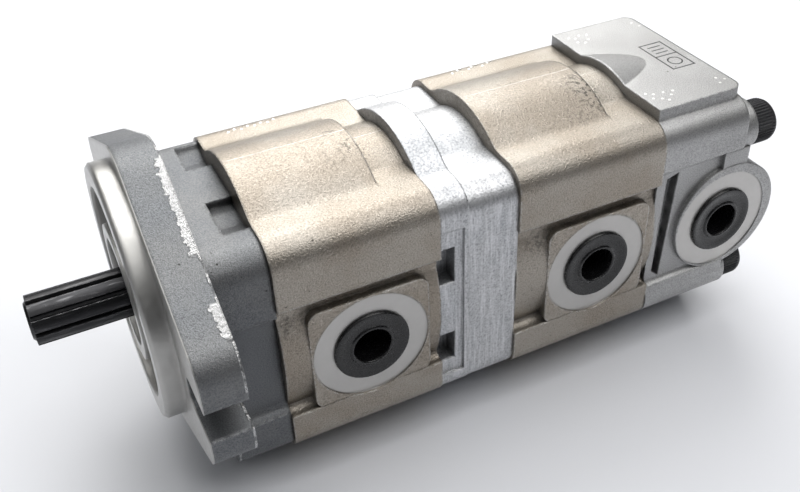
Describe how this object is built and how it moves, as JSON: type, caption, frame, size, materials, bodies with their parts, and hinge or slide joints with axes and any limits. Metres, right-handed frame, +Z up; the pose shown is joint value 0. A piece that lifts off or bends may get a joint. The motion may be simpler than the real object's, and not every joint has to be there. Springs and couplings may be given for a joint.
{
  "type": "hydraulic gear pump",
  "caption": "Tandem hydraulic gear pump: two gear bodies between a slotted mounting flange and a rear cover, splined drive shaft, side ports with shipping plugs.",
  "frame": {"origin": "where the drive shaft axis meets the mounting face of the flange", "axes": "+X along the drive shaft towards the rear cover, +Z up from the driven gear to the drive gear, outlet ports face -Y"},
  "size_m": [0.2599, 0.134, 0.118],
  "materials": {
    "front_casting": "rough cast",
    "body_casting": "tan hard-coated casting",
    "middle_casting": "die cast and milled",
    "rear_casting": "rough cast",
    "black_shaft": "phosphated black",
    "gear_steel": "ground",
    "black_bolt": "black oxide",
    "bearing_alloy": "milled",
    "bush_bronze": "bored",
    "seal_rubber": "moulded",
    "ring_steel": "spring steel",
    "pin_steel": "ground",
    "plug_plastic": "moulded"
  },
  "bodies": {
    "housing": {"front_cover": "front_casting", "shaft_seal": "seal_rubber", "seal_snap_ring": "ring_steel", "body_1": "body_casting", "middle_plate": "middle_casting", "body_2": "body_casting", "rear_cover": "rear_casting", "bush_block_1_front": "bearing_alloy", "bush_block_1_rear": "bearing_alloy", "bush_block_2_front": "bearing_alloy", "bush_block_2_rear": "bearing_alloy", "journal_bushes_1": "bush_bronze", "journal_bushes_2": "bush_bronze", "face_seals_1": "seal_rubber", "face_seals_2": "seal_rubber", "pressure_seals_1": "seal_rubber", "pressure_seals_2": "seal_rubber", "dowel_pins": "pin_steel", "through_bolts": "black_bolt"},
    "drive_shaft_1": {"drive_gear_1": "black_shaft"},
    "driven_shaft_1": {"driven_gear_1": "gear_steel"},
    "drive_shaft_2": {"drive_gear_2": "gear_steel", "spline_coupling": "gear_steel"},
    "driven_shaft_2": {"driven_gear_2": "gear_steel"},
    "outlet_plug_1": {"outlet_plug_1": "plug_plastic"},
    "outlet_plug_2": {"outlet_plug_2": "plug_plastic"},
    "rear_port_plug": {"rear_port_plug": "plug_plastic"},
    "inlet_plug_1": {"inlet_plug_1": "plug_plastic"},
    "inlet_plug_2": {"inlet_plug_2": "plug_plastic"}
  },
  "joints": [
    {"name": "drive_shaft_1_spin", "type": "hinge", "parent": "housing", "child": "drive_shaft_1", "pos_m": [0, 0, 0], "axis": [1, 0, 0], "continuous": true},
    {"name": "driven_shaft_1_spin", "type": "hinge", "parent": "housing", "child": "driven_shaft_1", "pos_m": [0.0575, 0, -0.038], "axis": [1, 0, 0], "continuous": true},
    {"name": "drive_shaft_2_spin", "type": "hinge", "parent": "housing", "child": "drive_shaft_2", "pos_m": [0.1415, 0, 0], "axis": [1, 0, 0], "continuous": true},
    {"name": "driven_shaft_2_spin", "type": "hinge", "parent": "housing", "child": "driven_shaft_2", "pos_m": [0.1415, 0, -0.038], "axis": [1, 0, 0], "continuous": true},
    {"name": "outlet_plug_1_pull", "type": "slide", "parent": "housing", "child": "outlet_plug_1", "axis": [0, -1, 0], "range_m": [0, 0.06]},
    {"name": "outlet_plug_2_pull", "type": "slide", "parent": "housing", "child": "outlet_plug_2", "axis": [0, -1, 0], "range_m": [0, 0.06]},
    {"name": "rear_port_plug_pull", "type": "slide", "parent": "housing", "child": "rear_port_plug", "axis": [0, -1, 0], "range_m": [0, 0.06]},
    {"name": "inlet_plug_1_pull", "type": "slide", "parent": "housing", "child": "inlet_plug_1", "axis": [0, 1, 0], "range_m": [0, 0.06]},
    {"name": "inlet_plug_2_pull", "type": "slide", "parent": "housing", "child": "inlet_plug_2", "axis": [0, 1, 0], "range_m": [0, 0.06]}
  ],
  "couplings": [
    {"joint": "driven_shaft_1_spin", "follows": "drive_shaft_1_spin", "ratio": -1},
    {"joint": "drive_shaft_2_spin", "follows": "drive_shaft_1_spin", "ratio": 1},
    {"joint": "driven_shaft_2_spin", "follows": "drive_shaft_1_spin", "ratio": -1}
  ]
}
